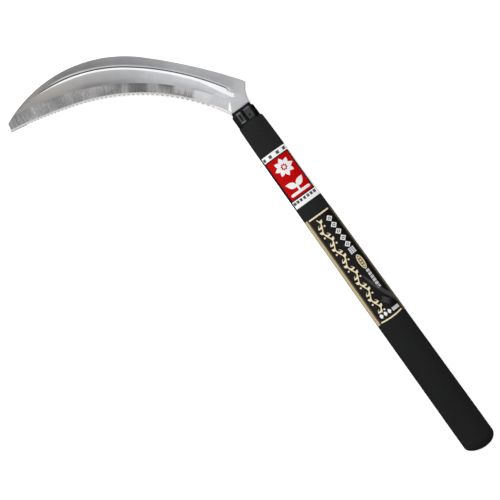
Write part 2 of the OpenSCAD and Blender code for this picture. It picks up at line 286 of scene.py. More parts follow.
def loft(rings, cap_start=None, cap_end=None):
    """Quads between rings of equal length; a cap is a point that closes an end."""
    sides = len(rings[0])
    points = [p for ring in rings for p in ring]
    turn = [(k, (k + 1) % sides) for k in range(sides)]
    faces = []
    for at in range(0, len(points) - sides, sides):
        faces += [(at + k, at + n, at + sides + n, at + sides + k) for k, n in turn]
    for cap, at, step in ((cap_start, 0, -1), (cap_end, len(points) - sides, 1)):
        if cap is not None:
            points.append(cap)
            faces += [(*(at + k for k in pair[::step]), len(points) - 1) for pair in turn]
    return points, faces


def carve(obj, cutters, rounding):
    """Cuts closed shapes out of a piece and rounds the edges that are left."""
    for cutter in cutters:
        cut = obj.modifiers.new("cut", "BOOLEAN")
        cut.object = cutter
        cut.operation = "DIFFERENCE"
        cut.solver = "EXACT"
    bevel = obj.modifiers.new("rounding", "BEVEL")
    bevel.width = rounding * MM
    bevel.segments = 3
    bevel.limit_method = "ANGLE"
    bevel.angle_limit = math.radians(CARVED_SHARP)
    bevel.harden_normals = False
    bpy.context.view_layer.update()
    graph = bpy.context.evaluated_depsgraph_get()
    mesh = bpy.data.meshes.new_from_object(obj.evaluated_get(graph))
    obj.modifiers.clear()
    obj.data = mesh
    smooth(mesh, MOULDED_SHARP)
    for cutter in cutters:
        bpy.data.objects.remove(cutter)


def rounded_loop(x, y, r, steps=5):
    """A rectangle over the spans x and y with corners of radius r."""
    left, right, front, back = x[0] + r, x[1] - r, y[0] + r, y[1] - r
    corners = ((right, front), (right, back), (left, back), (left, front))
    return [p for k, c in enumerate(corners) for p in arc(c, r, 90 * k - 90, 90 * k, steps)]


def rounded_prism(x, y, z, r):
    """A block over the spans x, y and z with rounded upright edges."""
    loop = rounded_loop(x, y, r)
    rings = [[(px, py, pz) for px, py in loop] for pz in z]
    centre = (sum(x) / 2, sum(y) / 2)
    return loft(rings, (*centre, z[0]), (*centre, z[1]))


# ------------------------------------------------------------ material helpers


class Nodes:
    """Short calls for the nodes of a material or of the world."""

    def __init__(self, tree):
        self.tree, self.nodes = tree, tree.nodes

    def link(self, source, node, socket):
        self.tree.links.new(source, node.inputs[socket])

    def node(self, kind, inputs, **settings):
        """The outputs of a new node. An input is a value or another's output."""
        node = self.nodes.new("ShaderNode" + kind)
        for name, value in settings.items():
            setattr(node, name, value)
        for socket, value in inputs.items():
            if isinstance(value, bpy.types.NodeSocket):
                self.link(value, node, socket)
            else:
                node.inputs[socket].default_value = value
        return node.outputs

    def math(self, operation, a, b):
        return self.node("Math", {0: a, 1: b}, operation=operation)["Value"]

    def product(self, first, *others):
        for other in others:
            first = self.math("MULTIPLY", first, other)
        return first

    def span(self, value, low, high, to_low=0, to_high=1, ease="LINEAR"):
        """Maps the range low..high of a value to to_low..to_high."""
        inputs = {"From Min": low, "From Max": high, "To Min": to_low, "To Max": to_high}
        return self.node("MapRange", {**inputs, "Value": value}, interpolation_type=ease)["Result"]

    def split(self, vector):
        """The three parts of a vector."""
        outputs = self.node("SeparateXYZ", {"Vector": vector})
        return [outputs[k] for k in "XYZ"]


class Shader(Nodes):
    """A Principled material and the nodes that vary its surface."""

    def __init__(self, name, color, roughness, metallic=0.0, specular=0.5):
        self.material = bpy.data.materials.new(name)
        self.material.use_nodes = True
        super().__init__(self.material.node_tree)
        self.bsdf = self.nodes["Principled BSDF"]
        inputs = {"Roughness": roughness, "Metallic": metallic, "Specular IOR Level": specular}
        for socket, value in {"Base Color": (*color, 1), **inputs}.items():
            self.bsdf.inputs[socket].default_value = value

    def position(self, scale=(1, 1, 1)):
        """Object coordinates, in metres, stretched by scale."""
        return self.scaled(self.node("TexCoord", {})["Object"], scale)

    def attribute(self, name):
        return self.node("Attribute", {}, attribute_name=name)["Vector"]

    def scaled(self, vector, scale):
        return self.node("Mapping", {"Scale": scale, "Vector": vector})["Vector"]

    def noise(self, vector, scale, detail, roughness=0.5):
        inputs = {"Scale": scale, "Detail": detail, "Roughness": roughness}
        return self.node("TexNoise", {**inputs, "Vector": vector})["Fac"]

    def vary(self, noise, low, high):
        """Spreads a noise, which mostly lies near a half, over low..high."""
        return self.span(noise, 0.3, 0.7, low, high)

    def tint(self, value, dark, light):
        """A colour between dark and light, picked by a value from 0 to 1."""
        node = self.nodes.new("ShaderNodeValToRGB")
        node.color_ramp.elements[0].color = (*dark, 1)
        node.color_ramp.elements[1].color = (*light, 1)
        self.link(value, node, "Fac")
        return node.outputs["Color"]

    def surface(self, color, rough, height, depth, shade=None):
        """Links a colour, dimmed by shade, a roughness and a bump of a height of
        0..1, depth metres deep."""
        if shade is not None:
            color = self.node("VectorMath", {0: color, "Scale": shade}, operation="SCALE")["Vector"]
        normal = self.node("Bump", {"Distance": depth, "Height": height})["Normal"]
        for source, socket in ((color, "Base Color"), (rough, "Roughness"), (normal, "Normal")):
            self.link(source, self.bsdf, socket)
        return self.material


def blade_steel():
    """Satin stainless sheet. The mesh's own attributes say where it is polished,
    ground or left as rolled: finish is (tone, roughness, grind across) and grain
    is (along the edge, across it, warmth of the tarnish). The tone is partly the
    steel's finish and partly painted reflection, highlight and shade."""
    s = Shader("blade_steel", (0.7, 0.7, 0.7), 0.3, metallic=1.0)
    grain = s.attribute("grain")
    warmth = s.split(grain)[2]
    tone, rough, across = s.split(s.attribute("finish"))
    brushed = s.noise(s.scaled(grain, (0.07, 2.2, 0)), 1.0, 4, 0.65)
    ground = s.noise(s.scaled(grain, (1.0, 0.08, 0)), 1.0, 5, 0.7)
    cloudy = s.noise(s.scaled(grain, (0.16, 0.22, 0)), 1.0, 2)
    blotch = s.noise(s.scaled(grain, (0.9, 0.55, 0)), 1.0, 3, 0.65)
    streak = s.product(s.vary(ground, 0.68, 1.32), s.vary(blotch, 0.78, 1.22))
    cross = s.math("ADD", s.product(s.math("SUBTRACT", streak, 1.0), across), 1.0)
    shade = s.product(s.vary(brushed, 0.965, 1.035), cross, s.vary(cloudy, 0.97, 1.03), tone)
    color = s.tint(warmth, (0.715, 0.733, 0.768), (0.79, 0.735, 0.675))
    rough = s.math("ADD", s.span(cloudy, 0.25, 0.75, -0.02, 0.02), rough)
    height = s.math("ADD", brushed, s.product(ground, across))
    return s.surface(color, rough, height, 0.000004, shade)


def moulded(name, dark, light, roughness, specular, grain=900, depth=0.00004):
    """Moulded plastic with a fine surface grain."""
    s = Shader(name, light, roughness, specular=specular)
    spot = s.position()
    fine = s.noise(spot, grain, 4, 0.6)
    color = s.tint(s.noise(spot, 60, 3), dark, light)
    return s.surface(color, s.vary(fine, roughness - 0.06, roughness + 0.06), fine, depth)


def grip_rubber():
    """Matt black rubber, faintly mottled and greyer from handling at its front."""
    s = Shader("grip_rubber", (0.0075, 0.0075, 0.0075), 0.7, specular=0.1)
    spot = s.position()
    mottle = s.noise(spot, 420, 4, 0.6)
    worn = s.span(s.split(spot)[1], -0.16, 0.09, 0.86, 1.3)
    color = s.tint(s.vary(mottle, 0, 1), (0.0108, 0.0115, 0.0112), (0.0152, 0.016, 0.0155))
    return s.surface(color, s.vary(mottle, 0.62, 0.78), s.noise(spot, 2200, 3, 0.6), 0.00005, worn)


def insert_plastic():
    """Dark grey moulded plastic, with a painted highlight at the insert's two ends
    and painted shade down in its slot."""
    s = Shader("insert_plastic", (0.06, 0.06, 0.063), 0.35, specular=0.4)
    spot = s.position()
    _, along, up = s.split(spot)
    middle = PLACE.translation.y + sum(INSERT_Y) / 2 * MM
    from_middle = s.math("ABSOLUTE", s.math("SUBTRACT", along, middle), 0)
    reach = (INSERT_Y[1] - INSERT_Y[0]) / 2 * MM
    # painted highlight: paler towards the insert's two ends
    painted_end_highlight = s.span(from_middle, reach - 0.9 * MM, reach - 0.2 * MM)
    floor = PLACE.translation.z + (TANG_T / 2 + CLEARANCE + SLOT_FLOOR) * MM
    # painted shade: darker down in the slot, lighter towards its top
    painted_lighting = s.span(up, floor + 0.8 * MM, floor + 3 * MM, 0.4, 1)
    color = s.tint(painted_end_highlight, (0.066, 0.068, 0.07), (0.26, 0.265, 0.27))
    fine = s.noise(spot, 700, 4, 0.6)
    return s.surface(color, s.vary(fine, 0.3, 0.42), fine, 0.00002, painted_lighting)


def metal(name, color, roughness, stretch):
    """Drawn or ground metal with a grain along one axis."""
    s = Shader(name, color, roughness, metallic=1.0)
    lines = s.noise(s.position(stretch), 1.0, 4, 0.6)
    spots = s.tint(s.noise(s.position(), 250, 2), [c * 0.95 for c in color], color)
    rough = s.vary(lines, roughness - 0.05, roughness + 0.08)
    return s.surface(spots, rough, lines, 0.00001, s.vary(lines, 0.85, 1.1))


def film(name, dark, light, specular=0.1):
    """Printed film: a faint unevenness of ink and a softly waved gloss."""
    s = Shader(name, light, 0.35, specular=specular)
    spot = s.position()
    patch = s.noise(spot, 140, 3, 0.6)
    return s.surface(s.tint(patch, dark, light), s.vary(patch, 0.3, 0.4), s.noise(spot, 45, 2), 0.0001)


# -------------------------------------------------------------------- blade

SPINE_NECK_C = SPINE_C - (SPINE_NECK_R - SPINE_R) * heading(SPINE_TURN)
SHOULDER_C = polar(SPINE_NECK_C, SPINE_NECK_R - SHOULDER_R, SHOULDER_A)
EDGE_TIP_C = EDGE_C - (EDGE_TIP_R - EDGE_R) * heading(EDGE_TURN)
GROOVE_NECK_C = GROOVE_C - (GROOVE_NECK_R - GROOVE_R) * heading(GROOVE_TURN)
HEEL_ARC = math.radians(EDGE_TURN - HEEL_A) * EDGE_R
EDGE_LEN = HEEL_ARC + math.radians(EDGE_TIP_A - EDGE_TURN) * EDGE_TIP_R
TIP_PITCH = 2 * (EDGE_LEN - HEEL_PLAIN - TIP_PLAIN) / TOOTH_COUNT - HEEL_PITCH
# How far the ground face drops from the flat to the hone
HONE_DROP = BLADE_T - EDGE_T - TOOTH_RISE * TOOTH_DEPTH - HONE_RISE * (HONE_W - TOOTH_DEPTH)


def edge_at(length, inset=0.0):
    """A point at a length along the cutting edge from the heel, set back by inset."""
    if length < HEEL_ARC:
        return polar(EDGE_C, EDGE_R + inset, HEEL_A + math.degrees(length / EDGE_R))
    return polar(EDGE_TIP_C, EDGE_TIP_R + inset, EDGE_TURN + math.degrees((length - HEEL_ARC) / EDGE_TIP_R))


def edge_chain():
    """The saw-toothed edge from the heel to the tip. Each tooth is listed by
    shares of the pitch and of the depth; its flat top narrows towards the tip."""
    points = [edge_at(HEEL_PLAIN * i / 8) for i in range(8)]
    start = HEEL_PLAIN
    for i in range(TOOTH_COUNT):
        share = i / (TOOTH_COUNT - 1)
        pitch = HEEL_PITCH + (TIP_PITCH - HEEL_PITCH) * share
        flat = TOOTH_FLAT[0] + (TOOTH_FLAT[1] - TOOTH_FLAT[0]) * share
        front = ((0.02, 1.0), (0.10, 0.42), (0.14, 0.06), (0.18, 0.0))
        back = ((0.15 + flat, 0.06), (0.20 + flat, 0.2), (0.38 + flat, 0.82), (0.47 + flat, 1.0))
        points += [edge_at(start + f * pitch, TOOTH_DEPTH * inset) for f, inset in front + back]
        start += pitch
    rest = EDGE_LEN - start
    return points + [edge_at(start + rest * i / 8) for i in range(9)]


def spine_chain():
    """The blade's back from the collar over the shoulder to the tip's clip."""
    return (
        arc((NECK_X + NECK_R, SEAT), NECK_R, 180, 180 - NECK_TURN, 14)
        + arc(SHOULDER_C, SHOULDER_R, -20, SHOULDER_A, 6)
        + arc(SPINE_NECK_C, SPINE_NECK_R, SHOULDER_A + 0.3, SPINE_TURN, 40)
        + arc(SPINE_C, SPINE_R, SPINE_TURN + 1, TIP_A, 84)
        + [TIP_CLIP]
    )


def tang_chain():
    """The tang from the heel's side round to the spine's side."""
    w, corner = TANG_W / 2, 2
    side = [(w - corner, -TANG_LEN), (w, -TANG_LEN + corner), (w, SEAT)]
    return [(COLLAR_X - LIP_W / 2, SEAT)] + [(-x, y) for x, y in side[::-1]] + side


def groove_widths(towards_tip, angle):
    """Narrowing at the groove's tip end and the width of its inner wall."""
    narrow = np.where(towards_tip, 0.35 + 0.65 * smoothstep(GROOVE_TIP_A - angle, 0, 12), 1)
    wide = 0.45 * smoothstep(51 - angle, 0, 9) + SCOOP * smoothstep(38.5 - angle, 0, 7.5)
    return narrow, (GROOVE_INNER + np.where(towards_tip, 0, wide)) * narrow


def groove_line(points):
    """Distance from the groove's bottom, signed towards the spine, with its
    narrowing, its inner wall's width and how far it has run out at its ends."""
    r_tip, a_tip = radial(points, GROOVE_C)
    r_neck, a_neck = radial(points, GROOVE_NECK_C)
    towards_tip = a_tip > GROOVE_TURN
    side = np.where(towards_tip, r_tip - GROOVE_R, r_neck - GROOVE_NECK_R)
    narrow, inner = groove_widths(towards_tip, np.where(towards_tip, a_tip, a_neck))
    tip_left = np.radians(GROOVE_TIP_A - a_tip) * GROOVE_R
    rounding = 2.7 * np.minimum(((side + 2.3) / 2.3) ** 2, 1.4)
    neck_left = np.radians(a_neck - GROOVE_END_A) * GROOVE_NECK_R - rounding
    ramp = 1.8 + 3.7 * smoothstep(side, -1.2, 0)
    left = np.where(towards_tip, smoothstep(tip_left, 0, 3), smoothstep(neck_left / ramp, 0, 1))
    return side, narrow, inner, left


def groove_depth(points):
    """Depth of the pressed groove: a steep wall with a rounded rim towards the
    spine and an even slope on the inner side."""
    side, narrow, inner, left = groove_line(points)
    deep, rest = GROOVE_D * narrow, RIM_D * narrow
    rim, wall = GROOVE_RIM * narrow, GROOVE_WALL * narrow
    steep = deep - (deep - rest) * side / wall
    eased = rest * np.clip(1 - (side - wall) / (rim - wall), 0, 1) ** 2
    spine_side = np.where(side < wall, steep, eased)
    share, ease = np.clip(1 + side / inner, 0, 1), GROOVE_EASE
    slope = np.where(share < ease, share * share / (2 * ease), share - ease / 2) / (1 - ease / 2)
    return np.where(side > 0, spine_side, deep * slope) * left


def edge_inset(points):
    """How far points lie inside the nominal cutting edge."""
    r_heel, a_heel = radial(points, EDGE_C)
    r_tip, _ = radial(points, EDGE_TIP_C)
    return np.where(a_heel < EDGE_TURN, r_heel - EDGE_R, r_tip - EDGE_TIP_R)


def grind_share(points):
    """0 on the flat to 1 at the hone, across the ground bevel."""
    r, a = radial(points, GRIND_C)
    inset = edge_inset(points)
    below = GRIND_R - r
    return np.clip(below / np.maximum(below + inset - HONE_W, 0.5), 0, 1)


def runout_side(points):
    """Distance past the line where the grind runs out at the heel."""
    normal = heading(RUNOUT_A + 90)
    return (points - RUNOUT_AT) @ normal


def chamfer(points, spine):
    """How far both faces fall away along the blade's back."""
    edge = np.clip(1 - distance_to_chain(points, spine) / CHAMFER, 0, 1)
    return CHAMFER_FALL * CHAMFER * edge**1.5


def face_height(points, spine):
    """Height of the blade's ground face."""
    half = BLADE_T / 2
    low = -half + EDGE_T
    inset = edge_inset(points)
    tooth = low + TOOTH_RISE * np.clip(inset, 0, None)
    hone = low + TOOTH_RISE * TOOTH_DEPTH + HONE_RISE * (inset - TOOTH_DEPTH)
    bevel = half - HONE_DROP * grind_share(points)
    bevel = np.maximum(bevel, half - RUNOUT_RISE * np.clip(runout_side(points), 0, None))
    z = np.where(inset < TOOTH_DEPTH, tooth, np.where(inset < HONE_W, hone, bevel))
    z = np.where(points[:, 1] < SEAT, TANG_T / 2, np.minimum(z, half))
    return z - groove_depth(points) - chamfer(points, spine)


def back_height(points, spine):
    """Height of the blade's back face, with the rib that the groove raises."""
    side, narrow, inner, left = groove_line(points)
    middle = (GROOVE_RIM * narrow - inner) / 2
    half = (GROOVE_RIM * narrow + inner) / 2 + RIB_MARGIN
    share = np.clip(1 - np.abs(side - middle) / half, 0, 1)
    rib = RIB_H * smoothstep(share, 0, 0.85) * left
    z = np.where(points[:, 1] < SEAT, -TANG_T / 2, -BLADE_T / 2)
    return z - rib + chamfer(points, spine)


# How bright each part of the blade is coloured, by the angle round the grind's
# centre from the neck to the tip: of the flat, with how far it darkens towards
# the grind; of the dark line along the grind; of the strip behind the groove;
# and of the bevel, at the flat and at the hone, where the wheel has left burnt
# and polished patches. The tones are partly the steel's finish and partly
# painted reflection, highlight and shade. The rows were listed from brightness
# measured along the blade in the photograph and then adjusted against renders.
FLAT_TONES = (
    (30, 1.02, 0.0), (33.3, 1.1, 0.0), (34.5, 1.22, 0.0), (36, 1.21, 0.02), (38, 1.235, 0.12),
    (42, 1.23, 0.22), (44.5, 1.2, 0.24), (47.5, 1.05, 0.08), (50, 1.04, 0.2), (52.5, 1.0, 0.22),
    (54, 0.87, 0.14), (57.5, 0.8, 0.32), (61, 0.765, 0.36), (63, 0.76, 0.42), (66, 0.73, 0.4),
    (68, 0.735, 0.26), (70.5, 0.745, 0.18), (74, 0.75, 0.18), (77, 0.7, 0.12), (80, 0.67, 0.08),
    (86, 0.58, 0.0),
)
GRIND_LINE = (
    (36.6, 0.0), (37.3, 0.42), (41, 0.46), (42.5, 0.15), (52, 0.05), (54, 0.12), (57, 0.12), (60, 0.0),
)
STRIP_TONES = (
    (31, 0.88), (34, 0.78), (36, 0.75), (41, 0.77), (46.5, 0.79), (48.5, 0.68), (50, 0.63), (53.5, 0.6),
    (57.5, 0.54), (60, 0.56), (62, 0.52), (64.5, 0.455), (67, 0.46), (69, 0.42), (71.5, 0.44), (74, 0.54),
    (77, 0.64), (80, 0.62), (86, 0.5),
)
BEVEL_TONES = (
    (32, 1.0, 0.88), (37, 1.0, 0.86), (38.2, 1.03, 1.0), (41, 1.1, 0.85), (41.8, 0.72, 0.36),
    (43, 0.84, 0.38), (45.6, 0.84, 0.38), (46.3, 0.42, 0.42), (46.8, 0.25, 0.46), (49.2, 0.26, 0.55),
    (49.8, 0.54, 0.54), (51.9, 0.5, 0.44), (52.4, 0.3, 0.24), (54, 0.24, 0.22), (56.3, 0.3, 0.31),
    (56.8, 0.44, 0.5), (57.8, 0.42, 0.54), (58.3, 0.28, 0.33), (59.2, 0.34, 0.4), (60.2, 0.5, 0.35),
    (62, 0.62, 0.34), (63.6, 0.63, 0.36), (64.6, 0.67, 0.56), (66, 0.57, 0.54), (68, 0.62, 0.38),
    (69, 0.55, 0.38), (70, 0.66, 0.44), (71.5, 0.52, 0.36), (72.8, 0.42, 0.4), (75, 0.46, 0.54),
    (76.5, 0.55, 0.44), (78, 0.56, 0.5), (79, 0.64, 0.66), (80, 0.46, 0.62), (82, 0.43, 0.48),
    (83.5, 0.4, 0.44), (86, 0.44, 0.48),
)
BEVEL_GAIN = 1.08


def blade_finish_and_painted_light(points, zones):
    """(tone, roughness, grind across) and warmth for face corners of the blade."""
    r, a = radial(points, GRIND_C)
    x, y, above = points[:, 0], points[:, 1], r - GRIND_R
    side, share = groove_line(points)[0], grind_share(points)

    def along(rows, column=1):
        return np.interp(a, [row[0] for row in rows], [row[column] for row in rows])

    flat = along(FLAT_TONES) * (1 - along(FLAT_TONES, 2) * (1 - smoothstep(above, 0.8, 5.5)))
    flat = flat * (1 - along(GRIND_LINE) * (1 - smoothstep(above, 0.3, 0.8)))
    by_groove = (0.12 + 0.1 * smoothstep(a, 50, 54)) * (1 - smoothstep(side, 2, 6.5))
    strip = along(STRIP_TONES) * (1.07 - by_groove)
    strip = strip + (1.0 - strip) * (1 - smoothstep(y, 4, 24))
    bevel = BEVEL_GAIN * (along(BEVEL_TONES) * (1 - share) + along(BEVEL_TONES, 2) * share)
    # The groove's outer rim has a painted highlight from mid-blade to the tip; its ends are darkened with
    # painted shade
    painted_lighting = smoothstep(side, 0.7, 1.1) * smoothstep(a, 49, 53)
    scoop_end = band(side, (-1.5, -0.7), (0.1, 0.6)) * (1 - smoothstep(a, 34.4, 35))
    tip_end = band(side, (-0.5, -0.1), (0.7, 1.1)) * smoothstep(a, 70, 73.5)
    painted_shade = (1 - 0.4 * scoop_end) * (1 - 0.5 * tip_end)
    rim = strip * 1.25 * (1 - painted_lighting) + (0.85 + 0.12 * smoothstep(a, 62, 68)) * painted_lighting
    near_heel = 1 - smoothstep(a, 35, 38)
    # The tang seen in the right-hand window is painted dark as shade in its pocket, with a painted sheen
    # towards its front, and painted black beside the pocket's walls and in a ring round its hole
    hole = np.hypot(x - TANG_HOLE[0], y - TANG_HOLE[1])
    clear_of_painted_black = (x > PLATE_X[0]) & (x < PLATE_X[1]) & (hole > TANG_HOLE_D / 2 + HOLE_PAINTED_SHADE)
    plate = 0.14 + 0.34 * smoothstep(y, *PLATE_PAINTED_SHEEN) * (y < 0)
    warm_flat = 0.12 + 0.6 * smoothstep(a, 54, 74)
    warm_bevel = 0.15 + 0.2 * smoothstep(a, 38, 44) + 0.1 * smoothstep(share, 0.7, 1)
    # Each zone's tone is partly its finish and partly painted reflection, highlight and shade
    finishes_and_painted_light = {
        "flat": (flat, 0.3, 0, warm_flat),
        "strip": (strip, 0.3, 0, 0.16 + 0.3 * smoothstep(a, 58, 76)),
        "rim": (strip * 0.6, 0.35, 0, warm_flat),
        "shade": (rim * painted_shade, 0.2, 0, 0.2),
        "groove": (1.12 * painted_shade, 0.16, 0, 0.15),
        "bevel": (bevel, 0.32, 0.25 + 0.75 * smoothstep(a, 40, 43), warm_bevel),
        "runout": (1.25, 0.22, 0, 0.25),
        "hone": (0.86 + 0.4 * near_heel, 0.2, 0, 0.5),
        "tooth": (0.64 + 0.36 * near_heel, 0.25, 0.2, 0.5 - 0.3 * near_heel),
        "tang": (np.where(clear_of_painted_black, plate, 0.01), 0.4, 0, 0),
        "back": (0.85, 0.33, 0, 0.45),
    }
    result = np.zeros((len(points), 4))
    for name, columns in finishes_and_painted_light.items():
        mask = zones == name
        for k, column in enumerate(columns):
            result[mask, k] = np.broadcast_to(column, len(points))[mask]
    return result[:, :3], result[:, 3]


def blade_zones(middle, spine):
    """The named zone of each face of the ground side, from its middle."""
    side, narrow, inner, left = groove_line(middle)
    inset = edge_inset(middle)
    past = runout_side(middle)
    zone = np.where(side > 0, "strip", "flat").astype("U8")
    ground = (radial(middle, GRIND_C)[0] < GRIND_R) & (past > 0)
    zone[ground] = "bevel"
    zone[ground & (RUNOUT_RISE * past < HONE_DROP * grind_share(middle))] = "runout"
    zone[inset < HONE_W] = "hone"
    zone[inset < TOOTH_DEPTH] = "tooth"
    pressed = left > 0.02
    zone[(side > 0) & (side < GROOVE_RIM * narrow) & pressed] = "shade"
    zone[(side <= 0) & (side > -inner) & pressed] = "groove"
    zone[distance_to_chain(middle, spine) < CHAMFER * 0.8] = "rim"
    zone[middle[:, 1] < SEAT] = "tang"
    return zone


def line_along(centre, radius, start, stop, step):
    count = max(2, int(abs(stop - start) * math.radians(1) * radius / step))
    return arc(centre, radius, start, stop, count)


def groove_rows():
    """Lines along the groove that carry its cross-section."""
    lines = []
    for centre, radius, start, stop in (
        (GROOVE_C, GROOVE_R, GROOVE_TURN, GROOVE_TIP_A + 0.5),
        (GROOVE_NECK_C, GROOVE_NECK_R, GROOVE_END_A - 1.6, GROOVE_TURN),
    ):
        middle = np.array(line_along(centre, radius, start, stop, 1.1))
        _, angles = radial(middle, centre)
        narrow, inner = groove_widths(np.full(len(angles), centre is GROOVE_C), angles)
        out = (middle - centre) / np.linalg.norm(middle - centre, axis=1)[:, None]
        for offset in (2.25, 2.0, 1.75, 1.5, 1.25, 1.0, 0.5, 0.0):
            lines.append([tuple(p) for p in middle + out * (offset * narrow)[:, None]])
        for share in (0.15, 0.3, 0.45, 0.6, 0.75, 0.88, 0.95, 1.0):
            lines.append([tuple(p) for p in middle - out * (share * inner)[:, None]])
    return lines


def blade():
    """The blade, meshed along the lines at which its surface or finish changes."""
    spine = spine_chain()
    loop = edge_chain() + spine[::-1] + tang_chain()[::-1]
    hole = arc(TANG_HOLE, TANG_HOLE_D / 2, 0, 345, 23)
    lines = groove_rows()
    for inset in (TOOTH_DEPTH + 0.02, HONE_W):
        lines += [
            line_along(EDGE_C, EDGE_R + inset, HEEL_A - 0.6, EDGE_TURN, 1.2),
            line_along(EDGE_TIP_C, EDGE_TIP_R + inset, EDGE_TURN, EDGE_TIP_A + 0.4, 1.2),
        ]
    for rise in (-6, -4, -2, 0, 0.8, 2.2, 4, 6):
        lines.append(line_along(GRIND_C, GRIND_R + rise, 31, 88, 0.9))
    for past in (0, 0.4, 0.8, 1.2, 1.6, 2.0, 3):
        start = RUNOUT_AT + heading(RUNOUT_A + 90) * past
        lines.append([tuple(start + heading(RUNOUT_A) * t) for t in np.arange(-12, 1.1, 0.6)])
    for inward in (0.1, 0.2, CHAMFER):
        lines.append(arc((NECK_X + NECK_R, SEAT), NECK_R + inward, 179, 180 - NECK_TURN, 14))
        lines.append(arc(SPINE_NECK_C, SPINE_NECK_R - inward, SHOULDER_A + 0.3, SPINE_TURN, 40))
        lines.append(arc(SPINE_C, SPINE_R - inward, SPINE_TURN, TIP_A - 0.2, 84))
    # Lines where the tang's painted sheen starts, where its painted black beside the pocket walls begins,
    # and round the painted ring at its hole
    for y in (-3.4, -3.0, -2.6, -2.2):
        lines.append([(-TANG_W / 2, y), (TANG_W / 2, y)])
    for x in (PLATE_X[0] - 0.01, PLATE_X[0] + 0.01, PLATE_X[1] - 0.01, PLATE_X[1] + 0.01):
        lines.append([(x, WINDOW_Y[0] - 1), (x, 0)])
    for grow in (0.29, 0.31):
        lines.append(arc(TANG_HOLE, TANG_HOLE_D / 2 + grow, 0, 360, 24))
    lines.append([(COLLAR_X - LIP_W / 2, SEAT + 0.04), (NECK_X, SEAT + 0.04)])
    lines.append([(-TANG_W / 2, SEAT), (TANG_W / 2, SEAT)])
    flat, tris = triangulate([loop], [hole], lines)
    bottom, top = np.c_[flat, back_height(flat, spine)], np.c_[flat, face_height(flat, spine)]
    solid = prism(flat, tris, bottom, top)
    obj = piece("blade_body", *solid, STEEL, "blade_steel", BLADE_SHARP, ["blade"])
    dress_blade(obj, spine)


def dress_blade(obj, spine):
    """Stores the grain's direction and the finish, with its painted reflection and shade, of every face
    corner.
    """
    mesh = obj.data
    back = PLACE.inverted()
    local = np.array([(back @ v.co)[:] for v in mesh.vertices])
    loops = np.array([loop.vertex_index for loop in mesh.loops])
    middle = np.array([(back @ p.center)[:] for p in mesh.polygons])
    normal_z = np.array([p.normal.z for p in mesh.polygons])
    sizes = np.array([p.loop_total for p in mesh.polygons])
    zones = blade_zones(middle[:, :2], spine)
    zones[normal_z < -0.3] = "back"
    zones[np.abs(normal_z) < 0.3] = "rim"
    zones[middle[:, 1] < SEAT] = "tang"
    corner = local[loops][:, :2]
    finish, warmth = blade_finish_and_painted_light(corner, np.repeat(zones, sizes))
    r, a = radial(corner, GRIND_C)
    grain = np.c_[np.radians(a) * GRIND_R, r - GRIND_R, warmth]
    for name, values in (("grain", grain), ("finish", finish)):
        data = mesh.attributes.new(name, "FLOAT_VECTOR", "CORNER").data
        data.foreach_set("vector", values.astype(np.float32).ravel())


# -------------------------------------------------------------------- collar


def section_ring(w, t, r, y, x0=COLLAR_X):
    loop = rounded_loop((-w / 2, w / 2), (-t / 2, t / 2), r, 8)
    return [(x0 + px, y, pz) for px, pz in loop]


def neck_collar():
    """Lip, shouldered body and the socket inside the tube, with two windows."""
    rings = []
    for a in (0, 30, 60, 90):
        k, back = fillet(LIP_EDGE_R, a)
        rings.append(section_ring(LIP_W - 2 * k, LIP_T - 2 * k, COLLAR_R - k, -back))
    rings.append(section_ring(LIP_W, LIP_T, COLLAR_R, -LIP_LEN))
    for a in range(0, 91, 15):
        k, back = fillet(PLAN_R, a)
        y = -LIP_LEN - back - 0.02
        rings.append(section_ring(COLLAR_W - 2 * k, COLLAR_T - 0.7 * k, COLLAR_R - 0.3 * k, y))
    rings.append(section_ring(COLLAR_W, COLLAR_T, COLLAR_R, -COLLAR_LEN))
    core_w = TUBE_W - 2 * TUBE_WALL - 0.1
    core_t = TUBE_H - 2 * TUBE_WALL - 0.1
    for y in (-COLLAR_LEN, -TANG_LEN - 4):
        rings.append(section_ring(core_w, core_t, core_t / 2 - 0.01, y, 0))
    body = loft(rings, (COLLAR_X, 0, 0), (0, -TANG_LEN - 4, 0))
    obj = piece("collar_body", *body, COLLAR, "collar_plastic", MOULDED_SHARP, ["neck_collar"])
    w, t = TANG_W / 2 + CLEARANCE, TANG_T / 2 + CLEARANCE
    cuts = [rounded_prism((-w, w), (-TANG_LEN - 5, 1), (-t, t), 0.1)]
    cuts += [rounded_prism(x, WINDOW_Y, (0, COLLAR_T), 0.5) for x in (LEFT_WINDOW_X, RIGHT_WINDOW_X)]
    carve(obj, [closed_mesh("cutter", *cut) for cut in cuts], 0.22)


def locking_insert():
    """Moulded frame that sits in the left window and bears on the tang."""
    floor, top = TANG_T / 2 + CLEARANCE, COLLAR_T / 2 - 1.2
    block = rounded_prism(INSERT_X, INSERT_Y, (floor, top), 0.4)
    obj = piece("insert_frame", *block, INSERT, "insert_plastic", MOULDED_SHARP, ["locking_insert"])
    slot = rounded_prism(SLOT_X, SLOT_Y, (floor + SLOT_FLOOR, COLLAR_T), 0.3)
    carve(obj, [closed_mesh("cutter", *slot)], 0.2)


# ---------------------------------------------------------------------- grip


def grip_half(distance):
    """Half-width of the grip behind the collar's front, eased at its bends."""
    ease = np.linspace(-5, 5, 7)
    at = np.clip(distance + ease * (distance > 20), GRIP_FRONT, 320)
    return float(np.mean(np.interp(at, *zip(*GRIP_HALF))))


def oval(distance, angle, grow=0.0, scale=1.0, rake=0.0):
    """A point of the grip's outside at an angle from its right-hand flank."""
    a = math.radians(angle)
    x = (grip_half(distance) + grow) * math.cos(a) * scale
    return (x, -distance - x * rake, (GRIP_T / 2 + grow) * math.sin(a) * scale)


def grip_ring(distance, *shape):
    return [oval(distance, 360 * k / GRIP_SIDES, *shape) for k in range(GRIP_SIDES)]


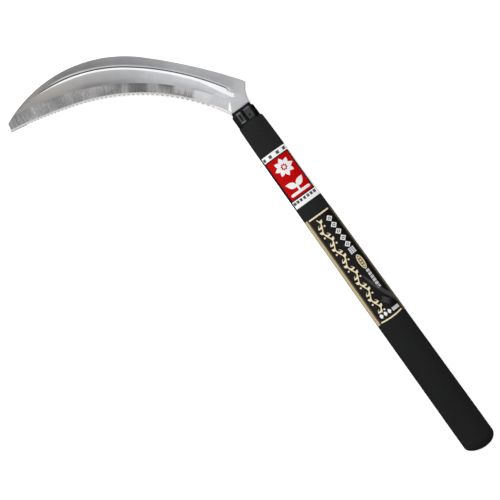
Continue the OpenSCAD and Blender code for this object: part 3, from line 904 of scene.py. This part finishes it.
def bore_ring(distance):
    """The tube's obround bore, sampled by angle."""
    w, h = TUBE_W + 0.1, TUBE_H + 0.1
    ring = []
    for k in range(GRIP_SIDES):
        a = math.radians(360 * k / GRIP_SIDES)
        c, s = math.cos(a), math.sin(a)
        reach = h / 2 / abs(s) if abs(s) > 1e-9 else 1e9
        if abs(c) * reach > (w - h) / 2:
            m = (w - h) / 2 * abs(c)
            reach = m + math.sqrt(max(m * m - ((w - h) / 2) ** 2 + (h / 2) ** 2, 0))
        ring.append((c * reach, -distance, s * reach))
    return ring


def grip_sleeve():
    rings = [bore_ring(BORE_END), bore_ring(GRIP_FRONT)]
    for a in range(0, 91, 10):
        inset, back = fillet(LIP_R, a)
        rings.append(grip_ring(GRIP_FRONT + back, -inset))
    distance = GRIP_FRONT + LIP_R
    while distance < GRIP_END - DOME_H - 3:
        distance += 2.5
        rings.append(grip_ring(distance))
    rake = math.tan(math.radians(END_RAKE))
    for a in range(0, 90, 5):
        c, s = heading(a)
        rings.append(grip_ring(GRIP_END - DOME_H * (1 - s), 0, c, s * rake))
    sleeve = loft(rings, (0, -BORE_END, 0), (0, -GRIP_END, 0))
    piece("grip_body", *sleeve, RUBBER, "grip_rubber", GRIP_SHARP, ["grip_sleeve"])


# -------------------------------------------------------------------- labels


def wrapped(flat, angles, tris, heights):
    """A thin solid on the grip: flat gives (anything, distance) of its points."""
    sheets = [[oval(d, a, h) for a, (_, d) in zip(angles, flat)] for h in heights]
    return prism(flat, tris, *sheets)


def skin(start, stop, first, last, heights=PRINT):
    """A thin wrap on the grip between two distances and two angles."""
    columns = max(2, int(abs(last - first) / 3))
    rows = max(2, int((stop - start) / 2))
    cells = []
    for i in range(rows):
        for k in range(columns):
            a = i * (columns + 1) + k
            cells += [(a, a + 1, a + columns + 2), (a, a + columns + 2, a + columns + 1)]
    flat = [
        (first + (last - first) * k / columns, start + (stop - start) * i / rows)
        for i in range(rows + 1)
        for k in range(columns + 1)
    ]
    return wrapped(flat, [a for a, _ in flat], np.array(cells), heights)


def label(node, span, wrap, material):
    """A printed film round the grip, open along the left-hand flank."""
    film_skin = skin(*span, -wrap, wrap, FILM)
    piece(node + "_skin", *film_skin, material, node + "_film", PRINT_SHARP, [node])


def facing(x, distance):
    """The angle on the grip at which a point is seen at x from above."""
    across = grip_half(distance) * math.cos(roll)
    down = GRIP_T / 2 * math.sin(roll)
    reach = math.hypot(across, down)
    return math.degrees(math.acos(max(-0.999, min(0.999, x / reach))) - math.atan2(down, across))


def lay(shapes, holes=(), heights=PRINT):
    """Thin ink over shapes drawn as seen from above, in x and distance."""
    xs = [p[0] for shape in shapes for p in shape]
    ds = [p[1] for shape in shapes for p in shape]
    first, last = math.floor(min(xs)) - 1, math.ceil(max(xs)) + 1
    cuts = [[(x, min(ds) - 1), (x, max(ds) + 1)] for x in np.arange(first, last + 0.5, 0.8)]
    flat, tris = triangulate(shapes, holes, cuts)
    return wrapped(flat, [facing(x, d) for x, d in flat], tris, heights)


def ink(node, colour, parts, material):
    """One printed colour on a label: solids joined into one thin piece."""
    points, faces = [], []
    for part_points, part_faces in parts:
        base = len(points)
        points += list(part_points)
        faces += [tuple(base + i for i in f) for f in part_faces]
    piece(f"{node}_{colour}", points, faces, material, node + "_film", PRINT_SHARP)


def bar(x0, x1, d0, d1, r=0.3):
    r = min(r, (x1 - x0) / 2.01, (d1 - d0) / 2.01)
    return rounded_loop((x0, x1), (d0, d1), r, 3)


def ellipse(x, d, rx, rd, steps=28):
    turns = [2 * math.pi * k / steps for k in range(steps)]
    return [(x + rx * math.cos(a), d + rd * math.sin(a)) for a in turns]


def leaf(x, d, length, width, angle, steps=9):
    """A pointed leaf from its stalk at (x, d), growing at an angle."""
    c, s = math.cos(math.radians(angle)), math.sin(math.radians(angle))
    shares = [k / steps for k in range(steps + 1)]
    side = [(t * length, width / 2 * math.sin(math.pi * t**0.8)) for t in shares]
    outline = side + [(u, -v) for u, v in side[::-1][1:-1]]
    return [(x + u * c - v * s, d + u * s + v * c) for u, v in outline]


def stroke(path, width):
    """A closed outline round a curve drawn with a pen of one width."""
    pts = np.array(path, float)
    along = np.gradient(pts, axis=0)
    along /= np.linalg.norm(along, axis=1)[:, None]
    across = np.c_[-along[:, 1], along[:, 0]] * width / 2
    return [tuple(p) for p in pts + across] + [tuple(p) for p in (pts - across)[::-1]]


def dashes(x, d, width, count, thick, gap):
    """A small block of plain dashes, one below another."""
    starts = [d + i * (thick + gap) for i in range(count)]
    return [bar(x - width / 2, x + width / 2, at, at + thick, 0.15) for at in starts]


def upper_print():
    """A red panel with a flower over a seedling, framed, between rows of dashes."""
    panel = bar(-9.45, 8.85, 45.9, 78.8, 0.2)
    border = bar(-10.45, 9.85, 44.9, 79.8, 0.3)
    ink("upper_label", "red", [lay([panel])], RED)
    marks = []
    for x, width in ((-8.75, 1.8), (-3.8, 2.4), (2.5, 2.4), (8.1, 2.3)):
        marks += dashes(x, 41.6, width, 3, 0.7, 0.11)
    for x in (-9.0, -6.4, -3.6, -0.6, 2.4, 5.3, 8.1):
        marks += dashes(x, 80.7, 2.0, 3, 0.66, 0.11)
    # The dark strip along the film's edge on the left-hand flank is painted shade where the film turns away
    edge = skin(*UPPER_LABEL, 151.6, UPPER_WRAP - 0.4)
    ink("upper_label", "dark", [lay(marks), lay([border], [panel]), edge], DARK_INK)
    x, d, core = *FLOWER_AT, 1.9
    petals = [
        leaf(x + core * math.cos(a), d + core * math.sin(a), 5.6, 3.6, math.degrees(a))
        for a in np.arange(8) * math.pi / 4
    ]
    seedling = [leaf(0.1, 71.6, 8.8, 4.8, turn) for turn in (-35, -145)]
    seedling += [bar(-0.7, 0.9, 70.2, 75.8, 0.4), bar(-7.9, 8.1, 74.9, 77.1, 1.0)]
    emblem = (petals, [ellipse(x, d, 1.2, 1.2, 20)], seedling)
    ink("upper_label", "emblem", [lay(shapes, heights=OVERPRINT) for shapes in emblem], WHITE_INK)


def scroll(x, start, stop, turns):
    """A scrolling vine with outlined leaves and berries down a column."""
    span = (stop - start) / turns
    path = [(x + 1.2 * math.sin(math.pi * k / 12), start + span * k / 12) for k in range(12 * turns + 1)]
    solid, open_leaves = [stroke(path, 0.75)], []
    for i in range(turns):
        side = 1 if i % 2 == 0 else -1
        at = start + span * (i + 0.5)
        solid.append(leaf(x + side * 0.9, at + 1.2, 4.2, 3.0, -90 - side * 118))
        open_leaves.append(leaf(x + side * 0.4, at + 0.8, 2.8, 1.3, -90 - side * 118))
        solid.append(leaf(x + side * 0.8, at - 0.2, 3.4, 2.2, -90 + side * 52))
        solid.append(ellipse(x + side * 2.5, at + 2.9, 0.7, 0.7, 14))
    return solid, open_leaves


def lozenge(x, d, rx, rd):
    return [(x - rx, d), (x, d - rd), (x + rx, d), (x, d + rd)]


def lower_print():
    """Gold bands, a vine, lozenges, an oval with seeds and blades of grass."""
    bend = [(x, 191.2 - 1.0 * (x / 11) ** 2) for x in np.arange(-8.4, 10.0, 0.6)]
    ink("lower_label", "cream", [lay([bar(-8.1, 8.8, 97.7, 98.9)]), lay([stroke(bend, 1.1)])], CREAM)
    span = (LOWER_LABEL[0] + 0.2, LOWER_LABEL[1] - 0.2)
    ink("lower_label", "gold", [skin(*span, 142, 149.5), skin(*span, 151, LOWER_WRAP - 2.5)], GOLD)
    # The olive bands are the gold band drawn again in painted shade where it turns onto the flanks
    ink("lower_label", "gold_painted_shade", [skin(*span, 134.5, 141), skin(*span, 14, 27.5)], SHADED_GOLD)
    x, d = OVAL_AT
    solid, holes = scroll(-3.45, 100.9, 184.4, 11)
    frame_line = lay([ellipse(x, d, 2.2, 6.2)], [ellipse(x, d, 1.45, 5.4)])
    seeds = [
        lay([ellipse(x, d + k * 2.4, 0.6, 0.75, 16)], heights=OVERPRINT)
        for k in (-1.5, -0.5, 0.5, 1.5)
    ]
    ink("lower_label", "vine", [lay(solid, holes), frame_line, *seeds], CREAM)
    # The brown strip from 6 to 13 degrees is deeper painted shade of the gold band on the right-hand flank;
    # the oval's fill is print
    ink("lower_label", "brown", [lay([ellipse(x, d, 1.4, 5.35)]), skin(*span, 6, 13)], BROWN)
    x, places = LOZENGES_AT[0], [LOZENGES_AT[1] + i * LOZENGE_STEP for i in range(5)]
    outlines = [lay([lozenge(x, d, 2.6, 2.6)], [lozenge(x, d, 1.45, 1.4)]) for d in places]
    middles = lay([lozenge(x, d, 0.75, 0.7) for d in places])
    marks = []
    for x in (3.6, 5.2, 6.8):
        marks += dashes(x, 131.5, 1.3, 4, 0.95, 0.35)
    for i in range(6):
        marks += dashes(5.9, 151.8 + i * 2.85, 2.5, 3, 0.5, 0.28)
    marks += [leaf(x - 1.4, 186.7, 2.8, 3.6, 0) for x in (-5.5, -2.0, 1.4)]
    marks += [bar(x, x + 0.6, 185.6, 188.4, 0.15) for x in np.arange(3.9, 9.3, 0.95)]
    ink("lower_label", "white", [*outlines, middles, lay(marks)], WHITE_INK)
    sweep = [leaf(0.1 + k * 0.75, 153 + k * 2.2, 24 + 2 * k, 1.9, 74 - k * 1.5) for k in range(6)]
    sweep += [leaf(0.7 + k, 176.5 - k, 8, 1.4, 52) for k in range(3)]
    ink("lower_label", "sweep", [lay(sweep)], GREY_INK)


# ---------------------------------------------------------- studio and camera


def studio_world():
    """Soft studio light: a pale tent, a bright panel towards the blade's back, a
    softer one towards the edge, a narrow one to the left, and dark openings to the
    right and the front. The camera itself sees a plain pale backdrop."""
    world = bpy.data.worlds.new("studio")
    bpy.context.scene.world = world
    world.use_nodes = True
    s = Nodes(world.node_tree)
    s.nodes.clear()
    direction = s.node("TexCoord", {})["Generated"]

    def towards(azimuth, low, high):
        """0 to 1 as a direction leans towards an azimuth of the picture."""
        a = math.radians(azimuth)
        target = VIEW_RIGHT * math.cos(a) + VIEW_UP * math.sin(a)
        lean = s.node("VectorMath", {0: direction, 1: target}, operation="DOT_PRODUCT")["Value"]
        return s.span(lean, low, high, ease="SMOOTHSTEP")

    def opening(azimuth, low, high, dark):
        return s.math("SUBTRACT", 1.0, s.product(towards(azimuth, low, high), dark))

    panel = s.product(towards(100, 0.14, 0.28), 0.72)
    strip = s.product(towards(285, 0.14, 0.26), 0.6)
    side = s.math("SUBTRACT", towards(195, 0.56, 0.64), towards(195, 0.74, 0.8))
    light = s.math("ADD", s.math("ADD", panel, strip), s.math("ADD", side, TENT_LIGHT))
    openings = s.product(opening(5, 0.42, 0.55, 0.95), opening(280, 0.5, 0.58, 0.85))
    above = s.span(s.split(direction)[2], -0.05, 0.12, 0.03, 1, ease="SMOOTHSTEP")
    light = s.product(s.product(light, openings), above)
    seen = s.node("LightPath", {})["Is Camera Ray"]
    strength = s.node("Mix", {"Factor": seen, "A": light, "B": 1.0}, data_type="FLOAT")["Result"]
    background = s.node("Background", {"Strength": strength})[0]
    s.node("OutputWorld", {"Surface": background})


def floor():
    s = Shader("paper", (0.92, 0.92, 0.92), 0.9, specular=0.0)
    paper = s.noise(s.position(), 40, 3)
    s.link(s.tint(paper, (0.915, 0.915, 0.915), (0.925, 0.925, 0.925)), s.bsdf, "Base Color")
    s.bsdf.inputs["Emission Color"].default_value = (1, 1, 1, 1)
    s.bsdf.inputs["Emission Strength"].default_value = FLOOR_GLOW
    mesh = bpy.data.meshes.new("floor")
    corners = [(x, y, 0) for x, y in ((-1, -1), (1, -1), (1, 1), (-1, 1))]
    mesh.from_pydata([Vector(c) * FLOOR_REACH for c in corners], [], [(0, 1, 2, 3)])
    mesh.materials.append(s.material)
    obj = add("floor", mesh)
    obj.visible_glossy = False


def key_light():
    """A broad overhead softbox that lifts the matt surfaces."""
    data = bpy.data.lights.new("overhead", "AREA")
    data.shape = "RECTANGLE"
    data.size, data.size_y = 1.6, 1.2
    data.energy = 10
    obj = add("overhead", data)
    obj.location = VIEW_CENTRE + VIEW_UP * 0.5 - VIEW_RIGHT * 0.5 + Vector((0, 0, 1.9))
    obj.rotation_euler = (VIEW_CENTRE - obj.location).to_track_quat("-Z", "Y").to_euler()
    obj.visible_camera = False
    obj.visible_glossy = False


def camera():
    data = bpy.data.cameras.new("camera")
    data.lens = data.sensor_width * VIEW_DISTANCE / VIEW_WIDTH
    data.clip_end = 20
    obj = add("camera", data)
    obj.location = VIEW_CENTRE + Vector((0, 0, VIEW_DISTANCE))
    obj.rotation_euler = (0, 0, VIEW_TURN)
    bpy.context.scene.camera = obj


# ------------------------------------------------------------------ the model

STEEL = blade_steel()
COLLAR = moulded("collar_plastic", (0.003, 0.003, 0.0034), (0.0045, 0.0045, 0.005), 0.28, 0.2, 700, 0.00002)
INSERT = insert_plastic()
RUBBER = grip_rubber()
PLUG = moulded("plug_plastic", (0.02, 0.02, 0.02), (0.03, 0.03, 0.03), 0.5, 0.4)
TUBE = metal("tube_aluminium", (0.72, 0.72, 0.73), 0.35, (2500, 30, 2500))
PIN = metal("pin_steel", (0.5, 0.5, 0.51), 0.3, (400, 400, 3000))
WHITE_FILM = film("upper_label_film", (0.93, 0.93, 0.93), (0.97, 0.97, 0.97), specular=0.15)
BLACK_FILM = film("lower_label_film", (0.006, 0.005, 0.0045), (0.009, 0.008, 0.007), specular=0.15)
RED = film("red_ink", (0.49, 0.001, 0.001), (0.57, 0.002, 0.002), specular=0.04)
DARK_INK = film("dark_ink", (0.006, 0.004, 0.008), (0.01, 0.008, 0.012))
WHITE_INK = film("white_ink", (0.88, 0.88, 0.88), (0.92, 0.92, 0.92))
CREAM = film("cream_ink", (0.82, 0.7, 0.47), (0.9, 0.78, 0.54))
GOLD = film("gold_ink", (0.56, 0.45, 0.24), (0.66, 0.54, 0.3))
SHADED_GOLD = film("gold_painted_shade_ink", (0.085, 0.07, 0.045), (0.12, 0.1, 0.068))
GREY_INK = film("grey_ink", (0.045, 0.043, 0.045), (0.062, 0.06, 0.062))
BROWN = film("brown_ink", (0.19, 0.135, 0.05), (0.25, 0.18, 0.075))

blade()
neck_collar()
locking_insert()
grip_sleeve()
label("upper_label", UPPER_LABEL, UPPER_WRAP, WHITE_FILM)
label("lower_label", LOWER_LABEL, LOWER_WRAP, BLACK_FILM)
upper_print()
lower_print()
for node, finish in (("core_tube", TUBE), ("front_pin", PIN), ("rear_pin", PIN), ("butt_plug", PLUG)):
    for material_slot in frame["nodes"][node].material_slots:
        material_slot.material = finish

studio_world()
key_light()
floor()
camera()
bpy.context.scene.view_settings.view_transform = "Standard"
